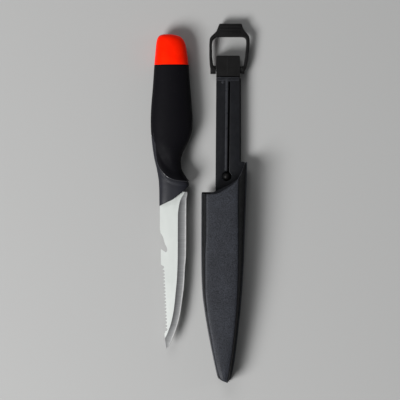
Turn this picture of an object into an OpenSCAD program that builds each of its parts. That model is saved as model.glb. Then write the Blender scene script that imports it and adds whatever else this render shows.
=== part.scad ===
// Floating rigging knife lying beside its moulded belt sheath.
// +Y runs from the blade's point to the cap, +Z points up from the table.
// The origin is on the table, under the middle of the pair.

/* [Layout] */
// Centre line of the knife across the pair
knife_x = -20.7; // [-22:0.1:-20]
// Centre line of the sheath across the pair
sheath_x = 19.7; // [19:0.1:21]

/* [Blade] */
// Thickness of the steel
blade_t = 1.8; // [1.4:0.1:2.2]
// Number of saw teeth on the back of the blade
tooth_count = 18; // [10:1:18]
// Distance from one saw tooth to the next
tooth_pitch = 2.5; // [2:0.1:2.5]
// Depth of the saw teeth
tooth_depth = 1.5; // [0.8:0.1:1.6]

/* [Handle] */
// Radius of the pins that hold the core halves to the tang
tang_pin_r = 1.5; // [1.2:0.1:1.8]
// Radius of the cap's spigot
spigot_r = 6.4; // [6:0.1:6.5]

/* [Sheath] */
// Thickness of the sheath's moulded walls
wall_t = 1.6; // [1.4:0.1:1.8]
// Thickness of the back plate and the strap
plate_t = 2.2; // [1.8:0.1:2.4]
// Clear gap for a belt between the strap and the tongue
belt_gap = 5.2; // [4.6:0.1:5.6]
// Thickness of the belt tongue
tongue_t = 2.2; // [1.8:0.1:2.4]
// Radius of the strap's snap hole
snap_r = 3.5; // [3.3:0.1:3.8]
// Radius of the ball on the snap stud
ball_r = 2.9; // [2.5:0.1:3]

/* [Bail] */
// Thickness of the locking bail
bail_t = 4.8; // [4:0.2:5.2]
// Radius of the bail's axle
axle_r = 1.25; // [1:0.05:1.4]

/* [Hidden] */
$fn = 48;
far = 60;
// Clearance between pieces that are assembled for good, and round a pin in its hole.
gap = 0.05;
pin_gap = 0.02;

// Knife: rows are [y, value], measured from its own centre line.
handle_end = 100.8;
grip_left = [[12, -9.6], [21.5, -10.6], [27, -11.7], [32, -12.9], [41, -14.2], [50, -15.3],
             [60, -15.6], [72, -15.1], [82, -14.2], [handle_end, -12.9]];
grip_right = [[12, 12.9], [15.1, 13.1], [17.3, 11.6], [20.5, 9.3], [24.2, 7.4], [28.5, 6.5],
              [32.2, 6.7], [36, 7.8], [40.3, 9.9], [44.6, 12], [49.4, 13.9], [54.7, 15],
              [61.7, 15.1], [72, 14.4], [82, 13.6], [handle_end, 12.2]];
grip_half = [[12, 7.8], [20, 8.4], [32, 8.9], [45, 9.2], [60, 9.5], [75, 9.5], [90, 9.1],
             [handle_end, 8.6]];
core_left = [[-3, -9.2], [8, -9.3], [15, -9.6], [21.5, -10.5], [27, -11.5], [32, -12.6],
             [41, -13.6], [50, -13.7], [60, -13.9], [72, -13.4], [82, -12.5], [handle_end, -11.2]];
core_right = [[-3, 12.3], [11, 12.5], [14.4, 12.7], [17.3, 10], [20.5, 7.7], [24.2, 5.8],
              [28.5, 4.9], [32.2, 5.1], [36, 6.2], [40.3, 8.3], [44.6, 10.4], [49.4, 12.3],
              [54.7, 13.4], [61.7, 13.5], [72, 12.8], [82, 12], [handle_end, 10.6]];
core_half = [[-3, 4.6], [3, 5.8], [10, 6.9], [16, 7.4], [26, 7.3], [45, 7.6], [60, 7.9],
             [75, 7.9], [90, 7.5], [handle_end, 7]];
cap_left = [[handle_end, -12.9], [106, -12.5], [112, -11.8], [118.4, -10.3], [120.8, -8.7],
            [122.5, -6.1], [123.3, -2.4]];
cap_right = [[handle_end, 12.2], [106, 11.6], [112, 10.7], [118.3, 9.5], [120, 8.2],
             [121.9, 4.6], [122.9, 1.3], [123.3, -1.1]];
cap_half = [[handle_end, 8.6], [106, 8.3], [112, 7.6], [117, 6.3], [120, 5], [122, 3.4],
            [123, 1.9], [123.3, 0.7]];
section_power = [[-3, 2], [22, 2.05], [50, 2.4], [handle_end, 2.4], [124, 2.1]];
section_sides = 28;
knife_z = 9.5;

// Where the sleeve stops and the bare core begins, from the spine to the guard.
sleeve_edge = [[-17, 51], [-14.8, 49], [-13.1, 45.5], [-12.3, 41], [-11.8, 34.3], [-10.5, 27.9],
               [-7.8, 23.1], [-4.6, 19.9], [-0.9, 17.5], [3.4, 16.2], [8.8, 15.6], [14, 15.4]];
// Where the core stops and the bare blade begins.
blade_edge = [[-12, -3.2], [-8.8, -2], [-4.6, 0], [-1.5, 1.4], [1.8, 3.3], [4.8, 5.7], [7.8, 8],
              [11.2, 11.1], [14, 13.6]];

// Blade: spine, top of the ground bevel and cutting edge.
blade_point = -106.4;
spine = [[blade_point, -3.9], [-104.2, -4.3], [-98.6, -5.2], [-90, -6], [-70, -7.2], [-45, -8],
         [-22, -8.3], [-19, -8.8], [-2.5, -8.8], [0, -7.8], [13, -7.8]];
bevel = [[blade_point, -3.8], [-104.2, -4.2], [-98.8, -5], [-94.5, -3], [-86.8, -0.4],
         [-76, 1.6], [-66.2, 2.6], [-52.2, 3.8], [-38, 4.2], [-9.6, 4.3], [-0.5, 5.4], [5.9, 8.1],
         [7.4, 9.6], [13, 9.6]];
edge = [[blade_point, -3.6], [-104.4, -2.3], [-101.4, -0.7], [-97.8, 0.8], [-94, 2.4],
        [-89.4, 3.9], [-80.6, 6], [-70.9, 7.4], [-60.6, 8.7], [-46.7, 9.5], [-38.3, 10.2],
        [-4.9, 10.4], [3.2, 10.5], [6.5, 11.3], [13, 10.9]];
// Half the steel's thickness, as a share of the full half.
half_steel = [[blade_point, 0.35], [-101, 0.7], [-98, 1], [13, 1]];
edge_half = 0.12;
blade_steps = [blade_point, -104.4, -101.4, -98.8, -96.8, -94.5, -91, -86.8, -80.6, -75, -69, -63,
               -57, -50, -44, -38, -30, -22, -19, -9.6, -5, -2.5, -0.5, 2.5, 5.9, 7.4, 10, 13];
// The line cutter's hook, from the spine down its slope and round to the hook's tip.
hook = [[-8.3, -22.2], [-6.7, -24.7], [-5.8, -27.7], [-4.9, -30.5], [-4, -32.2], [-3.5, -34.2],
        [-3.8, -35.5], [-4.7, -36.1], [-5.7, -35.3], [-8.1, -33.7]];
saw_start = [-7.9, -45.2];
saw_first = -48.7;
saw_tip_u = -6.9;
saw_lean = 0.049;
// The core is cut for the blade from this station up.
bolster_low = -9.6;
tang_u = -2.5;
tang_half = 4.5;
tang_start = 8;
tang_end = 88;
tang_pin_y = [32, 80];
tang_pin_half = 6.9;
boss_r = tang_pin_r + 1.8;

// The float's outline, each side of the tang, and the point that it grows from.
float_edge = [[-9, 40], [3, 40], [8.8, 54], [8.8, 74], [6.8, 88], [-7.4, 88], [-10, 74], [-10, 54]];
float_middle = [-0.6, 64];
float_reach = 8;
float_bottom = blade_t / 2 + 0.7;
float_top = 5.7;
spigot_u = -0.35;
spigot_len = 9;
seal_r = 0.8;
seal_y = handle_end - 4.6;
seal_floor = spigot_r + gap - 2 * seal_r;
// The cap is hollow from here down through its spigot.
cap_hollow_y = 115;
cap_hollow_r = spigot_r - 2.6;

// Sheath, measured from its own centre line.
sheath_tip = -131.2;
plate_z = tongue_t + belt_gap;
strap_top = plate_z + plate_t;
slope_start = 4;
plate_low = [[sheath_tip, 0], [-126, 0], [slope_start, plate_z]];
out_left = [[sheath_tip, -0.2], [-130.6, -2.2], [-129.8, -4.4], [-128.8, -6.4], [-127.6, -7.1],
            [-121.4, -8.6], [-110.5, -10.9], [-94.1, -14.1], [-80.6, -16.35], [-66.9, -18.1],
            [-50, -18.9], [-31, -19.05], [31, -18.8]];
out_right = [[sheath_tip, 0.4], [-130.7, 1.4], [-129.8, 2.1], [-128.4, 2.7], [-121.4, 4.5],
             [-106, 6.8], [-89.6, 8.6], [-76, 10], [-57.8, 11.4], [-39.5, 12.3], [-17, 13.1],
             [1.4, 13.8], [31, 14.7]];
face_left = [[sheath_tip, -0.1], [-129.8, -3.4], [-128.8, -5], [-127.6, -5.9], [-94, -12.9],
             [-80, -15.2], [-62, -16.6], [-40, -16.6], [-21, -15.9], [31, -15.9]];
face_right = [[sheath_tip, 0.3], [-129.8, 0.4], [-128.4, 0.7], [-106, 4.1], [-85, 6.4],
              [-67, 7.6], [-39.5, 8.2], [-21.5, 8.2], [1.4, 8], [31, 9]];
face_z = [[sheath_tip, 15.5], [-129.8, 17], [-128, 17.9], [-100, 21.2], [-60, 25], [-20, 27.8],
          [5, 28.8], [31, 29]];
flange_left = 0.6;
flange_right = 1.1;
flange_t = 1.1;
corner = 2.6;
mouth = [[-22, 6.6], [-15, 6.4], [-9.3, 6.4], [-6, 7.3], [-2.7, 9.2], [0.5, 11], [3.8, 13.3],
         [6.7, 16.2], [9, 19.2], [11, 22.7], [12.3, 26.3], [13.2, 29], [15.5, 30.4]];

// Strap, keyhole and beads.
strap_left = -8.6;
strap_right = 9.2;
strap_end = 92.2;
shoulder_top = 30.2;
shoulder_low = 7.9;
strap_edge = [[-18.9, slope_start], [13.87, slope_start], [14.5, 24], [14, 28], [12.4, shoulder_top],
              [strap_right, shoulder_top], [strap_right, strap_end], [strap_left + 0.6, strap_end],
              [strap_left, shoulder_low], [-18.8, shoulder_low]];
slot_w = 1.4;
slot_high = [1.5, 88.6];
slot_low = [0.8, 20];
snap_at = [-0.4, 19.5];
// The long bead runs left of the slot, and the cross bar closes its top.
bead_from_slot = 1.7;
bead_w = 1.9;
bar_w = 2.8;
bead_h = 0.5;
bar_y = 90.9;
tenon_end = 103.5;
tenon_half = 5.5;

// Head block and its two pivots, which lie along X.
block_left = -8;
block_right = 9.3;
block_low = 92.5;
block_high = 107.6;
block_top = strap_top + 1.6;
block_soft = 1.4;
axle_y = 97.4;
axle_z = 5.6;
tongue_pin_y = 93.9;
tongue_pin_r = 1;
pin_in = 1;
knuckle_r = tongue_t;
knuckle_left = -5.2;
knuckle_right = 6.5;
knuckle_room = 0.35;

// Bail: its outline and its opening.
bail_out = [[-8.3, 94.3], [-10.8, 95.8], [-12.3, 98.1], [-12.8, 101], [-13.1, 107.2], [-13.1, 116],
            [-12.8, 120.2], [-11.7, 122], [-9.3, 124.1], [-7.8, 125.6], [-6.8, 128.4], [-5.7, 131.2],
            [10.6, 131.2], [11.6, 127.7], [12.9, 125.6], [14.9, 123.5], [16.2, 121.6], [16.6, 118.6],
            [16.3, 113], [15.3, 103.8], [14.3, 99.3], [13.2, 97], [10.9, 94.8]];
bail_in = [[-10, 99.9], [-10.6, 103], [-11, 107], [-11.1, 116], [-10.5, 119], [-9, 120.7],
           [-6.5, 121.4], [10.4, 121.4], [12.8, 120.9], [13.9, 119.2], [14, 116.5], [13, 106],
           [12.2, 100.3]];
foot_r = 3.1;
foot_left = -8.3;
foot_right = 10.9;
foot_out_left = -12.3;
foot_out_right = 12.6;
axle_left = -11.6;
axle_right = 12.3;
spacer_t = 1.3;
spacer_r = 2.6;
ridge_y = [124.6, 127.1, 129.4];
ridge_left = -5;
ridge_right = 9.8;
ridge_w = 1;
ridge_h = 0.5;

// The belt tongue's outline and its stud.
tongue_left = -8;
tongue_right = 10.1;
tongue_foot = 13;
tongue_top = 91.4;
tongue_round = 6;
stud_neck_r = 1.7;
// The ball's middle sits a little above the strap's underside.
ball_z = strap_top - 2.7;

// Index of the row that y falls after.
function row_of(rows, y, i = 0) =
    (i >= len(rows) - 2 || y < rows[i + 1][0]) ? i : row_of(rows, y, i + 1);
function secant(rows, i) = (rows[i + 1][1] - rows[i][1]) / (rows[i + 1][0] - rows[i][0]);
// Slope at a row that never lets the curve overshoot its rows.
function slope(rows, i) =
    i <= 0 ? secant(rows, 0) :
    i >= len(rows) - 1 ? secant(rows, len(rows) - 2) :
    let (a = secant(rows, i - 1), b = secant(rows, i)) a * b <= 0 ? 0 : 2 * a * b / (a + b);
// Smooth value at y through the rows.
function at(rows, y) =
    let (i = row_of(rows, y), h = rows[i + 1][0] - rows[i][0], t = (y - rows[i][0]) / h)
    (1 + 2 * t) * pow(1 - t, 2) * rows[i][1] + t * pow(1 - t, 2) * h * slope(rows, i)
    + t * t * (3 - 2 * t) * rows[i + 1][1] + t * t * (t - 1) * h * slope(rows, i + 1);
// Straight-line value at y through the rows.
function ramp(rows, y) =
    let (i = row_of(rows, y), t = (y - rows[i][0]) / (rows[i + 1][0] - rows[i][0]))
    rows[i][1] + (rows[i + 1][1] - rows[i][1]) * min(1, t);

// Points of a smooth open curve through the given points.
function pull(p, i) = (p[min(i + 1, len(p) - 1)] - p[max(i - 1, 0)]) / 2;
function through(p, steps = 3) = concat(
    [for (i = [0:len(p) - 2], k = [0:steps - 1]) let (t = k / steps)
        (1 + 2 * t) * pow(1 - t, 2) * p[i] + t * pow(1 - t, 2) * pull(p, i)
        + t * t * (3 - 2 * t) * p[i + 1] + t * t * (t - 1) * pull(p, i + 1)],
    [p[len(p) - 1]]);

// A rounded ring of the handle at y, between its left and right sides.
function power(v, p) = sign(v) * pow(abs(v), p);
function handle_ring(y, left, right, half, grow) =
    let (a = (right - left) / 2 + grow, c = (left + right) / 2, p = 2 / ramp(section_power, y))
    [for (k = [0:section_sides - 1]) let (t = 360 * k / section_sides)
        [c + a * power(cos(t), p), y, (half + grow) * power(sin(t), p)]];

// A closed solid through rings of equal length, each fanned from its first point at the ends.
module loft(rings) {
    n = len(rings[0]);
    last = len(rings) - 1;
    polyhedron(
        points = [for (ring = rings) each ring],
        faces = concat(
            [for (k = [1:n - 2]) [0, k + 1, k]],
            [for (k = [1:n - 2]) [last * n, last * n + k, last * n + k + 1]],
            [for (j = [0:last - 1], k = [0:n - 1]) let (a = j * n + k, b = j * n + (k + 1) % n)
                each [[a, b, b + n], [a, b + n, a + n]]]));
}

function steps(low, high, count) = [for (i = [0:count]) low + (high - low) * i / count];

module core_form(grow = 0) {
    loft([for (y = concat(steps(-3, 50, 24), steps(53, handle_end, 12)))
        handle_ring(y, at(core_left, y), at(core_right, y), at(core_half, y), grow)]);
}

module grip_form() {
    loft([for (y = concat(steps(12, 56, 24), steps(60, handle_end, 10)))
        handle_ring(y, at(grip_left, y), at(grip_right, y), at(grip_half, y), 0)]);
}

module cap_form() {
    loft([for (y = concat(steps(handle_end, 117, 6), [118.4, 119.6, 120.6, 121.5, 122.3, 122.9, 123.3]))
        handle_ring(y, at(cap_left, y), at(cap_right, y), at(cap_half, y), 0)]);
}

// Everything on the far side of a curve, through the whole thickness of the knife.
module below(curve) {
    linear_extrude(2 * far, center = true)
        polygon(concat([[curve[0][0], -far]], through(curve), [[curve[len(curve) - 1][0], -far]]));
}

module tang(grow = 0) {
    linear_extrude(blade_t + 2 * grow, center = true) {
        translate([tang_u - tang_half - grow, tang_start])
            square([2 * (tang_half + grow), tang_end - tang_half - tang_start]);
        translate([tang_u, tang_end - tang_half])
            circle(tang_half + grow);
    }
}

// The blade before its hook and saw are cut: flat sides, then a ground bevel to the edge.
module blade_blank(grow = 0, low = blade_point) {
    body = [for (y = blade_steps) if (y >= low) y];
    loft([for (y = body) let (
            s = at(spine, y) - grow,
            b = at(bevel, y),
            e = at(edge, y) + grow,
            h = blade_t / 2 * at(half_steel, y) + grow)
        [[s, y, -h], [b, y, -h], [e, y, -edge_half - grow], [e, y, edge_half + grow], [b, y, h], [s, y, h]]]);
}

// Tips and round gullets of the saw, from the first tooth towards the point.
function saw_u(y) = saw_tip_u - saw_lean * (y - saw_first);
function tooth(y) = concat([[saw_u(y), y]],
    [for (a = [-60:40:60])
        [saw_u(y) + tooth_depth * cos(a), y - tooth_pitch * (0.5 + 0.42 * sin(a) / sin(60))]]);

module hook_and_saw() {
    saw_last = saw_first - tooth_count * tooth_pitch;
    linear_extrude(far, center = true) {
        polygon(concat([[-far, hook[0][1]]], through(hook), [[-far, hook[len(hook) - 1][1]]]));
        polygon(concat([[-far, saw_start[1]], saw_start, [saw_tip_u + 1, saw_start[1] - 1],
                        [saw_tip_u + 1.5, saw_first + 1.2]],
            [for (i = [0:tooth_count - 1]) each tooth(saw_first - i * tooth_pitch)],
            [[saw_u(saw_last) - 0.5, saw_last], [-far, saw_last]]));
    }
}

module blade_solid() {
    difference() {
        union() {
            blade_blank();
            tang();
        }
        hook_and_saw();
        pin_holes(tang_pin_r + pin_gap);
    }
}

module pin_holes(r) {
    for (y = tang_pin_y)
        translate([tang_u, y, -tang_pin_half])
            cylinder(r = r, h = 2 * tang_pin_half);
}

// One half of the moulded core, above the middle plane.
module core_half_solid() {
    difference() {
        core_form();
        translate([-far, -far, -2 * far])
            cube([2 * far, 4 * far, 2 * far]);
        below(blade_edge);
        blade_blank(gap, bolster_low);
        tang(gap);
        float_pocket(2 * gap);
        pin_holes(tang_pin_r + pin_gap);
        translate([spigot_u, handle_end + 1, 0])
            rotate([90, 0, 0])
                cylinder(r = spigot_r + gap, h = spigot_len + 1 + gap);
    }
}

// The float's room: an outline with a boss left standing round the pin.
module float_pocket(grow) {
    difference() {
        translate([0, 0, float_bottom - grow])
            linear_extrude(float_top - float_bottom + 2 * grow)
                polygon([for (p = float_edge) p + (p - float_middle) * grow / float_reach]);
        translate([tang_u, tang_pin_y[1], 0])
            cylinder(r = boss_r - grow, h = far);
    }
}

module place_knife() {
    translate([knife_x, 0, knife_z])
        children();
}

module place_sheath() {
    translate([sheath_x, 0, 0])
        children();
}

module blade() {
    color("gainsboro")
        place_knife()
            blade_solid();
}

module core_front() {
    color("#2e2f34")
        place_knife()
            core_half_solid();
}

module core_back() {
    color("#2e2f34")
        place_knife()
            mirror([0, 0, 1])
                core_half_solid();
}

module grip_sleeve() {
    color("#1c1c1f")
        place_knife()
            difference() {
                grip_form();
                core_form(gap);
                below(sleeve_edge);
            }
}

module tang_pins() {
    color("silver")
        place_knife()
            pin_holes(tang_pin_r);
}

module float_front() {
    color("khaki")
        place_knife()
            float_pocket(0);
}

module float_back() {
    color("khaki")
        place_knife()
            mirror([0, 0, 1])
                float_pocket(0);
}

module end_cap() {
    color("orangered")
        place_knife()
            difference() {
                union() {
                    translate([0, gap, 0])
                        cap_form();
                    translate([spigot_u, handle_end + 2, 0])
                        rotate([90, 0, 0])
                            cylinder(r = spigot_r, h = spigot_len + 2);
                }
                translate([spigot_u, seal_y, 0])
                    rotate([90, 0, 0])
                        difference() {
                            cylinder(r = spigot_r + 1, h = 2.1 * seal_r, center = true);
                            cylinder(r = seal_floor, h = far, center = true);
                        }
                translate([spigot_u, cap_hollow_y, 0])
                    rotate([90, 0, 0])
                        cylinder(r = cap_hollow_r, h = far);
            }
}

module cap_seal() {
    color("#101010")
        place_knife()
            translate([spigot_u, seal_y, 0])
                rotate([90, 0, 0])
                    rotate_extrude()
                        translate([seal_floor + seal_r, 0])
                            circle(seal_r - gap);
}

// Points that round the corner at c between its neighbours a and b.
function rounded(a, c, b, r) =
    let (p = c + (a - c) * r / norm(a - c), q = c + (b - c) * r / norm(b - c))
    [for (t = [0:0.25:1]) (1 - t) * (1 - t) * p + 2 * t * (1 - t) * c + t * t * q];

// The shell's section at y, with its flanges, from its base on the plate.
function shell_ring(y) =
    let (
        l = at(out_left, y), r = at(out_right, y), z = ramp(plate_low, y) + plate_t,
        full = min(1, (r - l) / 12),
        a = [l + flange_left * full, z + flange_t], b = [at(face_left, y), at(face_z, y)],
        c = [at(face_right, y), at(face_z, y)], d = [r - flange_right * full, z + flange_t],
        k = min(corner, norm(c - b) / 3))
    [for (p = concat([[r, z], [r, z + flange_t], d], rounded(d, c, b, k), rounded(c, b, a, k),
                     [a, [l, z + flange_t], [l, z]])) [p[0], y, p[1]]];

// The hollow inside the shell, one wall in from the section above, and open through the base.
function hollow_ring(y) =
    let (
        l = at(out_left, y) + flange_left + wall_t, r = at(out_right, y) - flange_right - wall_t,
        z = ramp(plate_low, y) + plate_t, top = at(face_z, y) - wall_t,
        a = [l, z - 1], b = [max(l + 0.3, at(face_left, y) + 0.9 * wall_t), top],
        c = [min(r - 0.3, at(face_right, y) - 0.9 * wall_t), top], d = [r, z - 1],
        k = min(corner - 1, norm(c - b) / 3))
    [for (p = concat([d], rounded(d, c, b, k), rounded(c, b, a, k), [a])) [p[0], y, p[1]]];

tip_steps = [sheath_tip, -130.9, -130.4, -129.8, -128.8, -127.6];
wall_steps = steps(-124, -70, 9);

module sheath_shell() {
    color("#43464c")
        place_sheath()
            difference() {
                loft([for (y = concat(tip_steps, wall_steps, steps(-60, 31, 13))) shell_ring(y)]);
                loft([for (y = concat([-127.8, -127], wall_steps, steps(-60, 34, 13))) hollow_ring(y)]);
                linear_extrude(far)
                    polygon(concat([[mouth[0][0], far]], through(mouth), [[mouth[len(mouth) - 1][0], far]]));
            }
}

module bead(a, b, w) {
    d = (b - a) / norm(b - a);
    n = [-d[1], d[0]] * w / 2;
    polygon([a - n, b - n, b + n, a + n]);
}

module sheath_back() {
    color("#303236")
        place_sheath()
            difference() {
                union() {
                    loft([for (y = concat(tip_steps, steps(-126, -56, 9), [-39, -17, slope_start])) let (
                            l = at(out_left, y), r = at(out_right, y), z = ramp(plate_low, y))
                        [[l, y, z], [r, y, z], [r, y, z + plate_t], [l, y, z + plate_t]]]);
                    translate([0, 0, plate_z])
                        linear_extrude(plate_t) {
                            polygon(strap_edge);
                            translate([-tenon_half, strap_end - 1])
                                square([2 * tenon_half, tenon_end - strap_end + 1]);
                        }
                    translate([0, 0, strap_top - 0.2])
                        linear_extrude(bead_h + 0.2) {
                            bead([slot_high[0] - bead_from_slot, bar_y],
                                [slot_low[0] - bead_from_slot, snap_at[1] + snap_r + 0.4], bead_w);
                            bead([strap_left + 0.9, bar_y], [strap_right - 0.3, bar_y], bar_w);
                        }
                }
                translate([0, 0, plate_z - 1])
                    linear_extrude(plate_t + 3)
                        bead(slot_high, slot_low, slot_w);
                translate([snap_at[0], snap_at[1], plate_z - 1])
                    cylinder(r = snap_r, h = plate_t + 3);
            }
}

module along_x(left, right, y, z, r) {
    translate([left, y, z])
        rotate([0, 90, 0])
            cylinder(r = r, h = right - left);
}

module head_block() {
    room = 0.3;
    color("#232427")
        place_sheath()
            difference() {
                linear_extrude(block_top)
                    polygon([[block_left, block_low], [block_right, block_low],
                             for (a = [0:15:90]) [block_right - block_soft * (1 - cos(a)),
                                                  block_high - block_soft * (1 - sin(a))],
                             [block_left + 0.6, block_high], [block_left, block_high - 0.6]]);
                along_x(-far, far, axle_y, axle_z, axle_r + pin_gap);
                along_x(block_left + pin_in, block_right - pin_in, tongue_pin_y, knuckle_r,
                    tongue_pin_r + pin_gap);
                translate([knuckle_left - room, block_low - 1, -1])
                    cube([knuckle_right - knuckle_left + 2 * room, tongue_pin_y - block_low + 1,
                          2 * knuckle_r + 1 + knuckle_room]);
                along_x(knuckle_left - room, knuckle_right + room, tongue_pin_y, knuckle_r,
                    knuckle_r + knuckle_room);
                translate([knuckle_left - room, block_low - 1, -1])
                    cube([knuckle_right - knuckle_left + 2 * room,
                          tongue_pin_y + knuckle_r + knuckle_room - block_low + 1, knuckle_r + 1]);
                translate([-tenon_half - gap, block_low - 1, plate_z - gap])
                    cube([2 * (tenon_half + gap), tenon_end - block_low + 1 + gap, plate_t + 2 * gap]);
            }
}

module bail() {
    color("#29282a")
        place_sheath()
            difference() {
                union() {
                    translate([0, 0, axle_z - bail_t / 2])
                        linear_extrude(bail_t)
                            difference() {
                                polygon(bail_out);
                                polygon(bail_in);
                                translate([foot_left, block_low - 2])
                                    square([foot_right - foot_left, block_high - block_low]);
                            }
                    for (y = ridge_y)
                        translate([ridge_left, y - ridge_w / 2, axle_z])
                            cube([ridge_right - ridge_left, ridge_w, bail_t / 2 + ridge_h]);
                    along_x(foot_out_left, foot_left, axle_y, axle_z, foot_r);
                    along_x(foot_right, foot_out_right, axle_y, axle_z, foot_r);
                }
                along_x(axle_left - gap, axle_right + gap, axle_y, axle_z, axle_r + 2 * pin_gap);
            }
}

module bail_axle() {
    color("silver")
        place_sheath()
            along_x(axle_left, axle_right, axle_y, axle_z, axle_r);
}

module bail_spacer() {
    color("#101012")
        place_sheath()
            difference() {
                along_x(block_right + gap, block_right + gap + spacer_t, axle_y, axle_z, spacer_r);
                along_x(-far, far, axle_y, axle_z, axle_r + pin_gap);
            }
}

module belt_tongue() {
    color("#26272a")
        place_sheath()
            difference() {
                union() {
                    linear_extrude(tongue_t) {
                        translate([tongue_left, tongue_foot + tongue_round])
                            square([tongue_right - tongue_left, tongue_top - tongue_foot - tongue_round]);
                        for (u = [tongue_left + tongue_round, tongue_right - tongue_round])
                            translate([u, tongue_foot + tongue_round])
                                circle(tongue_round);
                        translate([tongue_left + tongue_round, tongue_foot])
                            square([tongue_right - tongue_left - 2 * tongue_round, tongue_round]);
                        translate([knuckle_left, tongue_top - 1])
                            square([knuckle_right - knuckle_left, tongue_pin_y - tongue_top + 1]);
                    }
                    along_x(knuckle_left, knuckle_right, tongue_pin_y, knuckle_r, knuckle_r);
                }
                along_x(-far, far, tongue_pin_y, knuckle_r, tongue_pin_r + 2 * pin_gap);
                translate([snap_at[0], snap_at[1], -1])
                    cylinder(r = stud_neck_r + pin_gap, h = tongue_t + 2);
            }
}

module tongue_pin() {
    color("silver")
        place_sheath()
            along_x(block_left + pin_in + gap, block_right - pin_in - gap, tongue_pin_y, knuckle_r,
                tongue_pin_r);
}

module snap_stud() {
    color("#1d1c1c")
        place_sheath()
            translate([snap_at[0], snap_at[1], 0]) {
                cylinder(r = stud_neck_r, h = ball_z);
                translate([0, 0, ball_z])
                    sphere(ball_r);
            }
}

blade();
core_front();
core_back();
grip_sleeve();
tang_pins();
float_front();
float_back();
end_cap();
cap_seal();
sheath_shell();
sheath_back();
head_block();
bail();
bail_axle();
bail_spacer();
belt_tongue();
tongue_pin();
snap_stud();
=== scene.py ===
"""Rigging knife beside its belt sheath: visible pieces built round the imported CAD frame.

Shapes are worked out in millimetres in two local frames, the knife's and the sheath's, whose
centre lines come from the CAD boxes. +Y runs from the blade's point to the cap, +Z is up. In
the knife's frame the distance across is u, and in the sheath's it is w.
"""
import math

import bmesh
import bpy
from mathutils import Matrix, Vector


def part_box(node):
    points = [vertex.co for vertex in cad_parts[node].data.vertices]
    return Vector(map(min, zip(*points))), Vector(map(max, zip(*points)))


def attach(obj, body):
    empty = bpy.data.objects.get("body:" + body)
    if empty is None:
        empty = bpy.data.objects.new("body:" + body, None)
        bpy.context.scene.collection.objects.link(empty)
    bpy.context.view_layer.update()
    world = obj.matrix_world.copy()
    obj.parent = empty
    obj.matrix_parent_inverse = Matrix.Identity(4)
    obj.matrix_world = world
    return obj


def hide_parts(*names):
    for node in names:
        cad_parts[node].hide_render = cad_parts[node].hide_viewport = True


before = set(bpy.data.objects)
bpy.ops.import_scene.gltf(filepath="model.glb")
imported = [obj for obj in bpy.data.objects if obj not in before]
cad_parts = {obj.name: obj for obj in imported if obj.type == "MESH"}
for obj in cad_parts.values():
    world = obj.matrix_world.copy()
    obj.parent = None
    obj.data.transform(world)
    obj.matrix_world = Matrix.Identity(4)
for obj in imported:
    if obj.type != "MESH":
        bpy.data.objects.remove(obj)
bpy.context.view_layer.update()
MM = 0.001


def centre_mm(node):
    """Middle of a CAD node's box, in millimetres."""
    low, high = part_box(node)
    return [(a + b) / 2 / MM for a, b in zip(low, high)]


# Where the cap's seal and the head block sit across their own frames.
SEAL_U = -0.35
BLOCK_W = 0.65
KNIFE = (centre_mm("cap_seal")[0] - SEAL_U, 0, centre_mm("cap_seal")[2])
SHEATH = (centre_mm("head_block")[0] - BLOCK_W, 0, 0)


# ---------------------------------------------------------------- curves

def clamp(v, low=0.0, high=1.0):
    return max(low, min(high, v))


def smooth_step(v):
    v = clamp(v)
    return v * v * (3 - 2 * v)


def mix(a, b, t):
    return a + (b - a) * t


def hermite(rows, y):
    """Value at y on a curve through [y, value] rows that never overshoots them."""
    i = 0
    while i < len(rows) - 2 and y >= rows[i + 1][0]:
        i += 1

    def secant(k):
        return (rows[k + 1][1] - rows[k][1]) / (rows[k + 1][0] - rows[k][0])

    def slope(k):
        if k <= 0:
            return secant(0)
        if k >= len(rows) - 1:
            return secant(len(rows) - 2)
        a, b = secant(k - 1), secant(k)
        return 0 if a * b <= 0 else 2 * a * b / (a + b)

    h = rows[i + 1][0] - rows[i][0]
    t = clamp((y - rows[i][0]) / h)
    return ((1 + 2 * t) * (1 - t) ** 2 * rows[i][1] + t * (1 - t) ** 2 * h * slope(i)
            + t * t * (3 - 2 * t) * rows[i + 1][1] + t * t * (t - 1) * h * slope(i + 1))


class Profile:
    """A curve through rows, averaged over a short reach so that its highlights run smoothly."""

    def __init__(self, rows, reach=2.0, step=0.25):
        self.low, self.step = rows[0][0], step
        count = int(math.ceil((rows[-1][0] - rows[0][0]) / step))
        raw = [hermite(rows, self.low + k * step) for k in range(count + 1)]
        half = int(reach / step)
        for _ in range(2):
            raw = [self.average(raw, k, min(half, k, count - k)) for k in range(count + 1)]
        self.values = raw

    @staticmethod
    def average(raw, k, half):
        part = raw[k - half:k + half + 1]
        return sum(part) / len(part)

    def __call__(self, y):
        k = clamp((y - self.low) / self.step, 0, len(self.values) - 1.001)
        i = int(k)
        return mix(self.values[i], self.values[i + 1], k - i)


def through(points, steps=6):
    """Points of a smooth open curve through the given points."""
    out = []
    for i in range(len(points) - 1):
        p, q = points[i], points[i + 1]
        before, after = points[max(i - 1, 0)], points[min(i + 2, len(points) - 1)]
        for k in range(steps):
            t = k / steps
            a, b = (1 + 2 * t) * (1 - t) ** 2, t * (1 - t) ** 2
            c, d = t * t * (3 - 2 * t), t * t * (t - 1)
            out.append(tuple(a * p[j] + b * (q[j] - before[j]) / 2 + c * q[j] + d * (after[j] - p[j]) / 2
                             for j in range(2)))
    return out + [tuple(points[-1])]


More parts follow.
